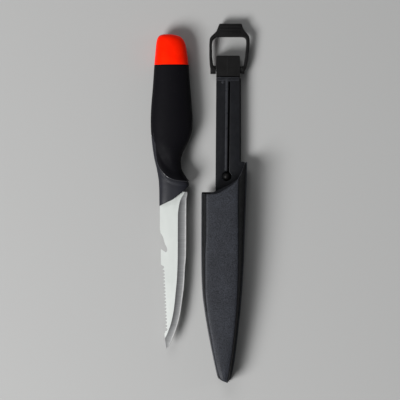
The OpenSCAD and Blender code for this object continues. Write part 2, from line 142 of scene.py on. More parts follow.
def fillet(points, radii, steps=5):
    """A closed outline with each corner rounded by its radius."""
    out = []
    count = len(points)
    for i, corner in enumerate(points):
        c = Vector(corner)
        a, b = Vector(points[i - 1]) - c, Vector(points[(i + 1) % count]) - c
        r = radii[i] if isinstance(radii, (list, tuple)) else radii
        r = min(r, a.length * 0.45, b.length * 0.45)
        if r < 0.02:
            out.append(tuple(c))
            continue
        p, q = c + a.normalized() * r, c + b.normalized() * r
        for k in range(steps + 1):
            t = k / steps
            out.append(tuple((1 - t) ** 2 * p + 2 * t * (1 - t) * c + t * t * q))
    return out


def circle(x, y, r, count=48):
    return [(x + r * math.cos(2 * math.pi * k / count), y + r * math.sin(2 * math.pi * k / count))
            for k in range(count)]


# ---------------------------------------------------------------- meshes

def add_piece(name, mesh, origin=(0, 0, 0), smooth=40):
    """Places a mesh made in millimetres, and gives it smooth shading up to the angle."""
    mesh.transform(Matrix.Translation(Vector(origin)))
    for v in mesh.vertices:
        v.co *= MM
    mesh.shade_smooth()
    mesh.set_sharp_from_angle(angle=math.radians(smooth))
    piece = bpy.data.objects.new(name, mesh)
    bpy.context.scene.collection.objects.link(piece)
    return piece


def mesh_from(name, points, faces):
    """A closed mesh with its doubled points joined and its normals facing out."""
    mesh = bpy.data.meshes.new(name)
    bm = bmesh.new()
    verts = [bm.verts.new(p) for p in points]
    for face in faces:
        ring = [verts[i] for i in face]
        if len(set(ring)) == len(ring):
            try:
                bm.faces.new(ring)
            except ValueError:
                continue
    bmesh.ops.remove_doubles(bm, verts=bm.verts, dist=1e-4)
    bmesh.ops.dissolve_degenerate(bm, edges=bm.edges, dist=1e-4)
    bmesh.ops.recalc_face_normals(bm, faces=bm.faces)
    bm.to_mesh(mesh)
    bm.free()
    return mesh


def lofted(name, rings, looped=False):
    """Skin over closed rings of equal length, with capped ends, or looped from the last to the first."""
    n, m = len(rings[0]), len(rings)
    points = [p for ring in rings for p in ring]
    faces = []
    for j in range(m if looped else m - 1):
        for k in range(n):
            a, b = j * n, ((j + 1) % m) * n
            faces.append((a + k, a + (k + 1) % n, b + (k + 1) % n, b + k))
    if not looped:
        faces.append(tuple(range(n)))
        faces.append(tuple((m - 1) * n + k for k in reversed(range(n))))
    return mesh_from(name, points, faces)


def plate(name, outline, holes, low, high, soft):
    """A flat moulding between two heights, with its outline's and holes' edges rounded by soft."""
    curve = bpy.data.curves.new(name, "CURVE")
    curve.dimensions = "2D"
    curve.fill_mode = "BOTH"
    curve.extrude = (high - low) / 2 - soft
    curve.bevel_depth = soft
    curve.bevel_resolution = 3
    curve.offset = -soft
    for loop in [outline] + holes:
        spline = curve.splines.new("POLY")
        spline.points.add(len(loop) - 1)
        for p, (x, y) in zip(spline.points, loop):
            p.co = (x, y, 0, 1)
        spline.use_cyclic_u = True
    draft = bpy.data.objects.new(name, curve)
    bpy.context.scene.collection.objects.link(draft)
    mesh = settled(draft)
    bpy.data.objects.remove(draft)
    bpy.data.curves.remove(curve)
    bm = bmesh.new()
    bm.from_mesh(mesh)
    bmesh.ops.translate(bm, verts=bm.verts, vec=(0, 0, (low + high) / 2))
    bmesh.ops.remove_doubles(bm, verts=bm.verts, dist=1e-4)
    bmesh.ops.recalc_face_normals(bm, faces=bm.faces)
    bm.to_mesh(mesh)
    bm.free()
    return mesh


def settled(piece):
    """The piece's mesh with its modifiers applied."""
    bpy.context.view_layer.update()
    return bpy.data.meshes.new_from_object(piece.evaluated_get(bpy.context.evaluated_depsgraph_get()))


def combined(mesh, others):
    """One mesh joined with the others in turn."""
    for other in others:
        a = bpy.data.objects.new("first", mesh)
        b = bpy.data.objects.new("second", other)
        for o in (a, b):
            bpy.context.scene.collection.objects.link(o)
        step = a.modifiers.new("step", "BOOLEAN")
        step.operation = "UNION"
        step.solver = "MANIFOLD"
        step.object = b
        mesh = settled(a)
        for o in (a, b):
            bpy.data.objects.remove(o)
    mesh.materials.clear()
    return mesh


def rod_x(left, right, y, z, r, soft=0.4, count=40):
    """A round bar along X with softened ends."""
    stations = [(left, r - soft)]
    for k in range(1, 5):
        a = math.radians(90 * k / 4)
        stations.append((left + soft * (1 - math.cos(a)), r - soft + soft * math.sin(a)))
    stations += [(left + right - x, q) for x, q in reversed(stations)]
    rings = [[(x, y + q * math.cos(2 * math.pi * k / count), z + q * math.sin(2 * math.pi * k / count))
              for k in range(count)] for x, q in stations]
    return lofted("rod", rings)


# ---------------------------------------------------------------- materials

def material(name, color, roughness, metallic=0.0, specular=0.5):
    """An empty Principled material and its node tree."""
    m = bpy.data.materials.new(name)
    m.use_nodes = True
    shader = m.node_tree.nodes["Principled BSDF"]
    shader.inputs["Base Color"].default_value = (*color, 1)
    shader.inputs["Roughness"].default_value = roughness
    shader.inputs["Metallic"].default_value = metallic
    shader.inputs["Specular IOR Level"].default_value = specular
    return m, m.node_tree, shader


def noise_at(tree, scale, detail=3, rough=0.5, stretch=(1, 1, 1)):
    """Noise in the object's own coordinates, with features about 1/scale metres wide."""
    coords = tree.nodes.new("ShaderNodeTexCoord")
    mapping = tree.nodes.new("ShaderNodeMapping")
    mapping.inputs["Scale"].default_value = stretch
    tree.links.new(coords.outputs["Object"], mapping.inputs["Vector"])
    texture = tree.nodes.new("ShaderNodeTexNoise")
    texture.inputs["Scale"].default_value = scale
    texture.inputs["Detail"].default_value = detail
    texture.inputs["Roughness"].default_value = rough
    tree.links.new(mapping.outputs["Vector"], texture.inputs["Vector"])
    return texture.outputs["Fac"]


def ramped(tree, value, stops):
    """A colour ramp from (position, colour) stops."""
    ramp = tree.nodes.new("ShaderNodeValToRGB")
    while len(ramp.color_ramp.elements) < len(stops):
        ramp.color_ramp.elements.new(0.5)
    for element, (place, color) in zip(ramp.color_ramp.elements, stops):
        element.position = place
        element.color = (*color, 1)
    tree.links.new(value, ramp.inputs["Fac"])
    return ramp.outputs["Color"]


def span(tree, value, low, high):
    """A 0 to 1 value spread over low to high."""
    node = tree.nodes.new("ShaderNodeMapRange")
    node.inputs["From Min"].default_value = 0.3
    node.inputs["From Max"].default_value = 0.7
    node.inputs["To Min"].default_value = low
    node.inputs["To Max"].default_value = high
    tree.links.new(value, node.inputs["Value"])
    return node.outputs["Result"]


def multiplied(tree, a, b):
    """The product of two colours."""
    node = tree.nodes.new("ShaderNodeMix")
    node.data_type = "RGBA"
    node.blend_type = "MULTIPLY"
    node.clamp_result = False
    node.inputs["Factor"].default_value = 1
    tree.links.new(a, node.inputs[6])
    tree.links.new(b, node.inputs[7])
    return node.outputs[2]


def bumped(tree, shader, value, strength, distance):
    """A bump from a value."""
    bump = tree.nodes.new("ShaderNodeBump")
    bump.inputs["Strength"].default_value = strength
    bump.inputs["Distance"].default_value = distance
    tree.links.new(value, bump.inputs["Height"])
    tree.links.new(bump.outputs["Normal"], shader.inputs["Normal"])


def moulded(name, color, roughness, grain=2600, grain_depth=0.00003, specular=0.5, speckle=0.0):
    """Moulded plastic: faint colour and gloss variation over a fine spark-eroded grain."""
    m, tree, shader = material(name, color, roughness, specular=specular)
    vary = 0.12
    dark = tuple(c * (1 - vary) for c in color)
    light = tuple(c * (1 + vary) for c in color)
    tint = ramped(tree, noise_at(tree, 90, 4, 0.6), [(0.35, dark), (0.65, light)])
    if speckle:
        dots = ramped(tree, noise_at(tree, 1500, 2, 0.7),
                      [(0.36, (1 - speckle,) * 3), (0.5, (1, 1, 1)), (0.66, (1 + speckle,) * 3)])
        tint = multiplied(tree, tint, dots)
    tree.links.new(tint, shader.inputs["Base Color"])
    tree.links.new(span(tree, noise_at(tree, 320, 3), roughness - 0.05, roughness + 0.06),
                   shader.inputs["Roughness"])
    bumped(tree, shader, noise_at(tree, grain, 2, 0.6), 0.6, grain_depth)
    return m


def satin_steel(name):
    """Blasted blade flats: near-white steel with faint lengthways drift."""
    m, tree, shader = material(name, (0.80, 0.81, 0.79), 0.42, metallic=0.3)
    tint = ramped(tree, noise_at(tree, 60, 3, 0.5, (1, 0.25, 1)),
                  [(0.3, (0.60, 0.63, 0.605)), (0.7, (0.72, 0.745, 0.72))])
    tree.links.new(tint, shader.inputs["Base Color"])
    tree.links.new(span(tree, noise_at(tree, 900, 3), 0.37, 0.47), shader.inputs["Roughness"])
    bumped(tree, shader, noise_at(tree, 5200, 2, 0.6), 0.35, 0.00001)
    return m


def ground_steel(name):
    """The hollow-ground bevel: grey steel with grinding lines across it, with painted shade darkest along its
    inner line and painted highlight towards the edge.
    """
    m, tree, shader = material(name, (0.36, 0.37, 0.37), 0.36, metallic=0.8)
    lines = noise_at(tree, 420, 4, 0.65, (0.05, 4.2, 0.05))
    # The 'ground' attribute is painted shade and highlight of the hollow grind: 0 dark at the inner line, 1
    # light at the edge.
    depth = tree.nodes.new("ShaderNodeAttribute")
    depth.attribute_name = "ground"
    base = ramped(tree, depth.outputs["Fac"], [(0.0, (0.23, 0.23, 0.235)), (0.25, (0.42, 0.425, 0.43)),
                                               (0.6, (0.66, 0.67, 0.67)), (1.0, (0.9, 0.91, 0.9))])
    scratches = ramped(tree, lines, [(0.3, (0.80, 0.80, 0.80)), (0.7, (1, 1, 1))])
    tree.links.new(multiplied(tree, base, scratches), shader.inputs["Base Color"])
    tree.links.new(span(tree, lines, 0.32, 0.44), shader.inputs["Roughness"])
    bumped(tree, shader, lines, 0.3, 0.00001)
    return m


def bright_steel(name, roughness=0.25, metallic=0.85):
    """Polished steel of the honed edge and the pins."""
    m, tree, shader = material(name, (0.85, 0.85, 0.84), roughness, metallic=metallic)
    lines = noise_at(tree, 300, 2, 0.5)
    tree.links.new(span(tree, lines, roughness - 0.05, roughness + 0.08), shader.inputs["Roughness"])
    tint = ramped(tree, lines, [(0.3, (0.78, 0.78, 0.77)), (0.7, (0.90, 0.90, 0.89))])
    tree.links.new(tint, shader.inputs["Base Color"])
    return m


def cap_plastic(name):
    """Bright orange-red cap: satin, with an orange-tinted specular and a faint mottle."""
    m, tree, shader = material(name, (1.0, 0.012, 0.0006), 0.45, specular=0.15)
    tint = ramped(tree, noise_at(tree, 130, 4, 0.6),
                  [(0.3, (0.92, 0.008, 0.0004)), (0.7, (1.0, 0.014, 0.0008))])
    tree.links.new(tint, shader.inputs["Base Color"])
    tree.links.new(span(tree, noise_at(tree, 380, 3), 0.4, 0.5), shader.inputs["Roughness"])
    shader.inputs["Specular Tint"].default_value = (1.0, 0.28, 0.08, 1)
    bumped(tree, shader, noise_at(tree, 1500, 2), 0.5, 0.00002)
    return m


def grip_rubber(name):
    """Soft-touch black sleeve: dull, with a velvet edge and the odd fleck of dust."""
    m, tree, shader = material(name, (0.0028, 0.0026, 0.0038), 0.6, specular=0.06)
    flecks = ramped(tree, noise_at(tree, 1100, 2, 0.4),
                    [(0.70, (0.0028, 0.0026, 0.0038)), (0.78, (0.012, 0.012, 0.013))])
    tree.links.new(flecks, shader.inputs["Base Color"])
    tree.links.new(span(tree, noise_at(tree, 240, 4), 0.54, 0.66), shader.inputs["Roughness"])
    shader.inputs["Sheen Weight"].default_value = 0.015
    shader.inputs["Sheen Roughness"].default_value = 0.5
    bumped(tree, shader, noise_at(tree, 2400, 2, 0.6), 0.5, 0.00002)
    return m


def foam(name):
    """Closed-cell float foam."""
    m, tree, shader = material(name, (0.80, 0.74, 0.55), 0.85)
    cells = tree.nodes.new("ShaderNodeTexVoronoi")
    cells.inputs["Scale"].default_value = 1400
    coords = tree.nodes.new("ShaderNodeTexCoord")
    tree.links.new(coords.outputs["Object"], cells.inputs["Vector"])
    tint = ramped(tree, cells.outputs["Distance"], [(0.0, (0.62, 0.56, 0.40)), (0.6, (0.84, 0.78, 0.60))])
    tree.links.new(tint, shader.inputs["Base Color"])
    bumped(tree, shader, cells.outputs["Distance"], 0.6, 0.0002)
    return m


STEEL_FLAT = satin_steel("steel_flat")
STEEL_GROUND = ground_steel("steel_ground")
STEEL_BRIGHT = bright_steel("steel_bright")
STEEL_HONED = bright_steel("steel_honed", 0.45, 0.45)
CORE = moulded("core_plastic", (0.0105, 0.0110, 0.0152), 0.52, grain=3200, grain_depth=0.00001,
               specular=0.2)
# Painted highlight: a lighter copy of the core plastic along the core's step line.
CORE_STEP_HIGHLIGHT = moulded("core_step_highlight", (0.014, 0.015, 0.020), 0.5, grain=3000, grain_depth=0.00001,
                   specular=0.1)
GRIP = grip_rubber("grip_rubber")
# Along the sleeve's lip: its higher gloss is the lip's own finish, its lighter colour is painted highlight.
GRIP_LIP_HIGHLIGHT = moulded("grip_lip_highlight", (0.022, 0.022, 0.026), 0.26, grain=3000, grain_depth=0.00001,
                   specular=0.7)
CAP = cap_plastic("cap_plastic")
SHELL = moulded("sheath_plastic", (0.0205, 0.0222, 0.0280), 0.55, grain=1900, grain_depth=0.00006,
                specular=0.2, speckle=0.6)
# Painted shade: a darker copy of the sheath plastic for the side walls.
SHELL_WALL_SHADE = moulded("wall_painted_shade", (0.0060, 0.0063, 0.0075), 0.5, grain=2400, grain_depth=0.00002,
                     specular=0.06)
# Painted highlight: a lighter copy of the sheath plastic for the flanges and the mouth's rim.
SHELL_RIM_HIGHLIGHT = moulded("rim_painted_highlight", (0.052, 0.055, 0.064), 0.4, grain=2400, grain_depth=0.00001,
                    specular=0.35)
STRAP = moulded("strap_plastic", (0.0088, 0.0092, 0.0108), 0.34, grain_depth=0.000015,
                specular=0.15, speckle=0.2)
# Lighter, glossier copy of the strap plastic for the raised bead, bars and lump: the lighter colour is
# painted highlight.
BEAD_HIGHLIGHT = moulded("bead_highlight_plastic", (0.021, 0.022, 0.026), 0.3, grain_depth=0.00001, specular=0.4)
BLOCK = moulded("block_plastic", (0.0058, 0.0056, 0.0057), 0.44, grain=2400, grain_depth=0.00002,
                specular=0.15)
BLOCK_LINE = moulded("block_line", (0.0095, 0.0094, 0.0098), 0.44, grain=2400, grain_depth=0.00002,
                     specular=0.2)
RUBBER = moulded("seal_rubber", (0.010, 0.010, 0.010), 0.55, grain=1800, grain_depth=0.00001)
FOAM = foam("float_foam")


def dress(piece, body, slot, *materials):
    """Materials and body of a new piece; its slot is not used."""
    for m in materials:
        piece.data.materials.append(m)
    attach(piece, body)


# ---------------------------------------------------------------- knife: outlines

# Outlines hold [y, u] rows and half thicknesses [y, z], each for a stretch of the handle.
HANDLE_END = 100.8
AROUND = 112
GRIP_LEFT = Profile([[12, -9.6], [21.5, -10.6], [27, -11.7], [32, -12.9], [41, -14.2], [50, -15.3],
                     [60, -15.6], [72, -15.1], [82, -14.2], [HANDLE_END, -12.9]], 4)
GRIP_RIGHT = Profile([[12, 12.9], [15.1, 13.1], [17.3, 11.6], [20.5, 9.3], [24.2, 7.4], [28.5, 6.5],
                      [32.2, 6.7], [36, 7.8], [40.3, 9.9], [44.6, 12], [49.4, 13.9], [54.7, 15],
                      [61.7, 15.1], [72, 14.4], [82, 13.6], [HANDLE_END, 12.2]], 1)
GRIP_HALF = Profile([[12, 7.8], [20, 8.4], [32, 8.9], [45, 9.2], [60, 9.5], [75, 9.5], [90, 9.1],
                     [HANDLE_END, 8.6]], 4)
INNER_LEFT = Profile([[12, -9.3], [27, -11.4], [41, -13.8], [50, -13.7], [60, -13.9], [82, -12.5],
                      [HANDLE_END, -11.2]])
INNER_RIGHT = Profile([[12, 12.4], [14.4, 12.4], [17.3, 9.9], [20.5, 7.6], [24.2, 5.7], [28.5, 4.8],
                       [32.2, 5], [36, 6.1], [40.3, 8.2], [44.6, 10.3], [49.4, 12.2], [54.7, 13.3],
                       [61.7, 13.4], [82, 12], [HANDLE_END, 10.6]], 0.5)
INNER_HALF = Profile([[12, 6], [26, 6], [40, 6.4], [60, 7.6], [75, 7.7], [HANDLE_END, 6.9]])
CORE_LEFT = Profile([[-3, -9.2], [8, -9.3], [15, -9.6], [21.5, -10.5], [27, -11.6], [32, -12.8],
                     [41, -14.25], [45, -14.7], [48.6, -15.05], [51, -14.6], [54, -13.9], [60, -13.9]], 0.75)
CORE_RIGHT = Profile([[-3, 12.3], [11, 12.5], [14.4, 12.7], [17.3, 10], [20.5, 7.7], [24.2, 5.8],
                      [28.5, 4.9], [32.2, 5.1], [36, 6.2], [40.3, 8.3], [44.6, 10.4], [49.4, 12.3],
                      [54.7, 13.4], [60, 13.4]], 0.5)
CORE_HALF = Profile([[-3, 4.6], [3, 5.8], [10, 6.9], [16, 7.4], [26, 7.3], [45, 7.6], [60, 7.9]], 2)
# Squareness of the handle's oval section along Y.
SECTION_POWER = [[-3, 2.8], [14, 2.75], [24, 2.4], [36, 2.2], [HANDLE_END, 2.2], [124, 2.1]]

# Lines across the handle, as (u, y): the sleeve's lip, the core's step, and the bolster's end.
SLEEVE_EDGE = through([[-17, 51], [-14.8, 49], [-13.1, 45.5], [-12.3, 41], [-11.8, 34.3], [-10.5, 27.9],
                       [-7.8, 23.1], [-4.6, 19.9], [-0.9, 17.5], [3.4, 16.2], [8.8, 15.6], [14, 15.4]])
STEP_EDGE = through([[-17, 44], [-12, 27.5], [-9.7, 22.4], [-5.7, 17.8], [-0.4, 14.6], [5.5, 13], [8.8, 12.6],
                     [14, 12.6]])
BLADE_EDGE = through([[-12, -3.2], [-8.8, -2], [-4.6, 0], [-1.5, 1.4], [1.8, 3.3], [4.8, 5.7], [7.8, 8],
                      [11.2, 11.1], [14, 13.6]])


def line_y(curve, u):
    """Y of a curve across the knife at u, where the curve runs one way in u."""
    if u <= curve[0][0]:
        return curve[0][1]
    for p, q in zip(curve, curve[1:]):
        if u <= q[0]:
            return mix(p[1], q[1], (u - p[0]) / max(q[0] - p[0], 1e-6))
    return curve[-1][1]


def beyond(curve, u, y):
    """Distance of (u, y) past a curve, square to it, positive towards the cap."""
    slope = (line_y(curve, u + 0.15) - line_y(curve, u - 0.15)) / 0.3
    return (y - line_y(curve, u)) / math.sqrt(1 + slope * slope)


def section_power(y):
    for a, b in zip(SECTION_POWER, SECTION_POWER[1:]):
        if y <= b[0]:
            return mix(a[1], b[1], clamp((y - a[0]) / (b[0] - a[0])))
    return SECTION_POWER[-1][1]


def oval(t, y, left, right, half):
    """Point of a handle section at angle t, in radians, 0 at the edge side."""
    p = 2 / section_power(y)
    c, s = math.cos(t), math.sin(t)
    u = (left + right) / 2 + (right - left) / 2 * math.copysign(abs(c) ** p, c)
    return u, half * math.copysign(abs(s) ** p, s)


HOLLOW_DEPTH = 1.7
LIP_HEIGHT = 0.25
STEP_DROP = 0.42


def grip_point(t, y):
    """The sleeve's outside, hollowed for the thumb above its lip on both sides."""
    u, z = oval(t, y, GRIP_LEFT(y), GRIP_RIGHT(y), GRIP_HALF(y))
    d = beyond(SLEEVE_EDGE, u, y)
    hollow = HOLLOW_DEPTH * smooth_step(d / 6.5) * (1 - smooth_step((d - 6) / 15))
    hollow *= 1 - smooth_step((y - 30) / 17)
    lip = LIP_HEIGHT * (1 - smooth_step(abs(d - 0.1) / 0.8))
    face = smooth_step((abs(z) / GRIP_HALF(y) - 0.15) / 0.6)
    return u, y, z + (lip - hollow) * face * math.copysign(1, z)


def core_point(t, y):
    """The core's outside, which steps down at a line below the sleeve and draws in under it."""
    u, z = oval(t, y, CORE_LEFT(y), CORE_RIGHT(y), CORE_HALF(y))
    d = beyond(STEP_EDGE, u, y)
    drop = STEP_DROP * (1 - smooth_step((d + 0.25) / 0.5))
    face = smooth_step((abs(z) / CORE_HALF(y) - 0.1) / 0.4)
    hidden = smooth_step((beyond(SLEEVE_EDGE, u, y) - 0.5) / 0.9)
    middle = (CORE_LEFT(y) + CORE_RIGHT(y)) / 2
    u = middle + (u - middle) * (1 - 0.12 * hidden)
    return u, y, (z - math.copysign(drop * face, z)) * (1 - 0.24 * hidden)


def meeting(point, t, curve, low, high):
    """Y at which the surface's line at angle t crosses a curve."""
    for _ in range(30):
        y = (low + high) / 2
        if y < line_y(curve, point(t, y)[0]):
            low = y
        else:
            high = y
    return (low + high) / 2


def rounded_end(point, t, y, radius, steps=5):
    """Points that roll a surface over its end at y, inwards, starting from the outside."""
    here, ahead = Vector(point(t, y + radius)), Vector(point(t, y + radius + 0.3))
    along = (here - ahead).normalized()
    around = Vector(point(t + 0.01, y + radius)) - Vector(point(t - 0.01, y + radius))
    inward = along.cross(around).normalized()
    if inward.dot(Vector((here.x, 0, here.z))) > 0:
        inward = -inward
    out = []
    for k in range(1, steps + 1):
        a = math.radians(90 * k / steps)
        out.append(tuple(here + along * radius * math.sin(a) + inward * radius * (1 - math.cos(a))))
    return out


def spread(low, high, count, power=1.0):
    return [mix(low, high, (k / count) ** power) for k in range(count + 1)]


def build_grip():
    """Sleeve: outside from the cap to the lip, over the lip, and back up the core."""
    lip_r = 0.4
    columns = []
    for k in range(AROUND):
        t = 2 * math.pi * (k + 0.5) / AROUND
        low = meeting(grip_point, t, SLEEVE_EDGE, 12.2, 60)
        outside = [grip_point(t, y) for y in spread(low + lip_r, HANDLE_END - 0.25, 110, 1.35)][::-1]
        top = grip_point(t, HANDLE_END)
        outside = [(top[0] * 0.985, HANDLE_END, top[2] * 0.97)] + outside
        lip = rounded_end(grip_point, t, low, lip_r)
        inside = []
        for y in spread(low, HANDLE_END, 24):
            u, z = oval(t, y, INNER_LEFT(y), INNER_RIGHT(y), INNER_HALF(y))
            inside.append((u, y, z))
        columns.append(outside + lip + inside)
    mesh = lofted("grip_sleeve_skin", list(zip(*columns)), looped=True)
    piece = add_piece("grip_sleeve_skin", mesh, KNIFE, 50)
    dress(piece, "knife", "grip_rubber", GRIP, GRIP_LIP_HIGHLIGHT)
    # The lip's faces get the lighter material, a painted highlight.
    lip_end, lip_highlight_reach = 44, 0.55
    for face in mesh.polygons:
        u, y = face.center.x / MM - KNIFE[0], face.center.y / MM
        if y < lip_end and beyond(SLEEVE_EDGE, u, y) < lip_highlight_reach:
            face.material_index = 1
    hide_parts("grip_sleeve")


def build_core(side, name, node):
    """One half of the moulded core: the bare bolster and its root under the sleeve."""
    arc = AROUND // 2
    soft = 0.45
    columns = []
    for k in range(arc + 1):
        t = math.pi * k / arc
        low = meeting(core_point, t, BLADE_EDGE, -2.9, 20)
        wall = core_point(t, low + soft)
        column = [(wall[0], low, 0.0), (wall[0], low, wall[2] * 0.5)]
        column += rounded_end(core_point, t, low, soft)[::-1] if 0 < k < arc else [(wall[0], low, 0.0)] * 5
        column += [core_point(t, y) for y in spread(low + soft, 58, 110, 1.25)]
        columns.append([(u, y, abs(z) * side) for u, y, z in column])
    piece = add_piece(name, lofted(name, list(zip(*columns))), KNIFE, 45)
    dress(piece, "knife", "core_plastic", CORE, CORE_STEP_HIGHLIGHT)
    # Faces along the core's step get the lighter material, a painted highlight.
    step_highlight_reach = 0.3
    for face in piece.data.polygons:
        u, y = face.center.x / MM - KNIFE[0], face.center.y / MM
        if abs(beyond(STEP_EDGE, u, y)) < step_highlight_reach:
            face.material_index = 1
    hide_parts(node)


def build_cap():
    """Domed cap whose crown slopes from the spine side down to the edge side."""
    left = Profile([[HANDLE_END, -12.9], [106, -12.5], [112, -11.9], [124, -10.9]])
    right = Profile([[HANDLE_END, 12.2], [106, 11.6], [112, 10.9], [124, 9.9]])
    half = Profile([[HANDLE_END, 8.6], [106, 8.4], [112, 8], [124, 7.2]])
    seat, base, crown_u = HANDLE_END + 0.05, 104.0, -1.6
    angles = [2 * math.pi * k / AROUND for k in range(AROUND)]

    def crown(u):
        return 123.3 - 0.005 * (u + 3) ** 2 - 0.1 * max(0.0, u + 1)

    def section(y):
        return [oval(t, y, left(y), right(y), half(y)) for t in angles]

    def dome(h):
        """Ring at the share h of the way up the crown, drawn in towards the crown's own middle."""
        y = base + h * (crown(0) - base)
        axis = (left(y) + right(y)) / 2
        ring = []
        for u, z in section(y):
            u = mix(axis, crown_u, h ** 4) + (u - axis) * (1 - h ** 5.4) ** (1 / 4.6)
            ring.append((u, base + h * (crown(u) - base), z * (1 - h ** 3.0) ** (1 / 3.0)))
        return ring

    rings = [[(0.96 * u, seat, 0.94 * z) for u, z in section(seat)]]
    for y in spread(seat, base, 8)[:-1]:
        wide, deep = (0.992, 0.988) if y < seat + 0.15 else (1, 1)
        rings.append([(u * wide, y, z * deep) for u, z in section(y)])
    rings += [dome(min(math.sin(math.pi / 2 * k / 48), 0.99999)) for k in range(49)]
    piece = add_piece("end_cap_skin", lofted("end_cap_skin", rings), KNIFE, 50)
    dress(piece, "knife", "cap_plastic", CAP)
    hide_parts("end_cap")


# ---------------------------------------------------------------- knife: blade

POINT = -106.4
FLAT_END = -98.8
SPINE = [[POINT, -3.9], [-104.2, -4.3], [FLAT_END, -5.2], [-90, -6], [-70, -7.2], [-45, -8],
         [-22, -8.3], [-19, -8.8], [-2.5, -8.8], [0, -7.8], [13, -7.8]]
BEVEL = Profile([[FLAT_END, -5.1], [-96.8, -3.9], [-94.5, -3], [-86.8, -0.4], [-76, 1.6], [-66.2, 2.6],
                 [-52.2, 3.8], [-38, 4.2], [-9.6, 4.3], [-0.5, 5.4], [5.9, 8.1], [7.4, 9.4], [13, 9.6]], 1)
EDGE = Profile([[POINT, -3.6], [-104.4, -2.3], [-101.4, -0.7], [-97.8, 0.8], [-94, 2.4], [-89.4, 3.9],
                [-80.6, 6], [-70.9, 7.4], [-60.6, 8.7], [-46.7, 9.5], [-38.3, 10.2], [-4.9, 10.4],
                [3.2, 10.5], [6.5, 11.3], [13, 10.9]], 1)
HOOK = through([[-8.35, -21.8], [-6.7, -24.7], [-5.8, -27.7], [-4.9, -30.5], [-4, -32.2], [-3.5, -34.2],
                [-3.8, -35.5], [-4.7, -36.1], [-5.7, -35.3], [-8.05, -33.7]])
TOOTH_COUNT = 18
TOOTH_PITCH = 2.5
TOOTH_DEPTH = 1.5
GULLET_ANGLE = math.radians(80)
SAW_FIRST = -48.7


def saw_u(y):
    return -6.9 - 0.049 * (y - SAW_FIRST)


def spine_path():
    """The blade's back from the bolster to where the flat ends, with its hook and saw."""
    path = [(hermite(SPINE, y), y) for y in (8, 2, 0, -2.5, -8, -14, -18.5, -20, -21)]
    path += HOOK
    path += [(hermite(SPINE, y), y) for y in (-34.5, -38, -42, -45)]
    path += [(-7.4, -45.6), (-6.3, -46), (-5.8, -46.6), (-5.7, -47.3), (-6.2, -48)]
    for i in range(TOOTH_COUNT):
        y = SAW_FIRST - i * TOOTH_PITCH
        path.append((saw_u(y), y))
        for k in range(-4, 5):
            a = GULLET_ANGLE * k / 4
            depth = TOOTH_DEPTH * math.cos(a) ** 0.8
            share = 0.5 + 0.46 * math.sin(a) / math.sin(GULLET_ANGLE)
            path.append((saw_u(y) + depth, y - TOOTH_PITCH * share))
    last = SAW_FIRST - TOOTH_COUNT * TOOTH_PITCH
    path += [(saw_u(last) - 0.1, last), (-4.9, last - 0.9), (-5.45, last - 1.8)]
    return path + [(hermite(SPINE, y), y) for y in (-97, FLAT_END)]


FLAT, GROUND, HONED = range(3)


def blade_faces(thick):
    """Points, faces, each face's material and each bevel point's share of painted shade and highlight, for
    both sides.
    """
    honed, honed_half, edge_half, hollow, strips = 0.95, 0.3, 0.03, 0.09, 6
    spine = spine_path()
    stations = spread(8, FLAT_END, 130)[:-1]
    tip = spread(FLAT_END, POINT, 24)
    upper = [(BEVEL(y), y, thick) for y in stations]
    upper += [(hermite(SPINE, y), y, mix(thick, 0.4, (k / 24) ** 1.2)) for k, y in enumerate(tip)]
    ys = stations + tip
    points, faces, kinds, painted_bevel_light, sides = [], [], [], {}, []

    def add(rows):
        start = len(points)
        points.extend(rows)
        return list(range(start, start + len(rows)))

    def between_rows(a, b, s, side):
        """Point of the hollow-ground bevel, at the share s of the way from its inner line."""
        z = mix(abs(points[a][2]), abs(points[b][2]), s)
        z -= hollow * math.sin(math.pi * s) * clamp(abs(points[a][2]) / thick)
        return (mix(points[a][0], points[b][0], s), mix(points[a][1], points[b][1], s), side * z)

    for side in (1, -1):
        top = add([(u, y, z * side) for u, y, z in upper])
        width = [EDGE(y) - up[0] for y, up in zip(ys, upper)]
        hone = add([(EDGE(y) - honed * clamp(w / 6), y, side * min(honed_half, up[2]))
                    for y, w, up in zip(ys, width, upper)])
        rim = add([(EDGE(y), y, edge_half * side) for y in ys])
        back = add([(u, y, thick * side) for u, y in spine[:-1]])
        faces.append(back + list(reversed(top[:len(stations) + 1])))
        kinds.append(FLAT)
        rows = [top]
        for j in range(1, strips):
            rows.append(add([between_rows(a, b, j / strips, side) for a, b in zip(top, hone)]))
        rows += [hone, rim]
        for j, (row, nxt) in enumerate(zip(rows, rows[1:])):
            for k in range(len(ys) - 1):
                faces.append((row[k], row[k + 1], nxt[k + 1], nxt[k]))
                kinds.append(HONED if j == strips else GROUND)
        for j, row in enumerate(rows):
            for k, i in enumerate(row):
                # Painted highlight: the bevel is lightened near the bolster and towards the point, where it
                # catches the lamps.
                ends = max(smooth_step((ys[k] + 1) / 9), smooth_step((-84 - ys[k]) / 20) * 0.6)
                painted_bevel_light[i] = mix(0.6 * j / strips, 1, ends)
        sides.append((rows, back))
    (front, front_back), (rear, rear_back) = sides
    seams = [(front_back + front[0][len(stations):], rear_back + rear[0][len(stations):], FLAT),
             (front[-1], rear[-1], HONED)]
    for a, b, kind in seams:
        for k in range(len(a) - 1):
            faces.append((a[k], a[k + 1], b[k + 1], b[k]))
            kinds.append(kind)
    faces.append([front_back[0]] + [r[0] for r in front] + [r[0] for r in reversed(rear)] + [rear_back[0]])
    kinds.append(FLAT)
    faces.append([r[-1] for r in front] + [r[-1] for r in reversed(rear)])
    kinds.append(GROUND)
    return points, faces, kinds, painted_bevel_light


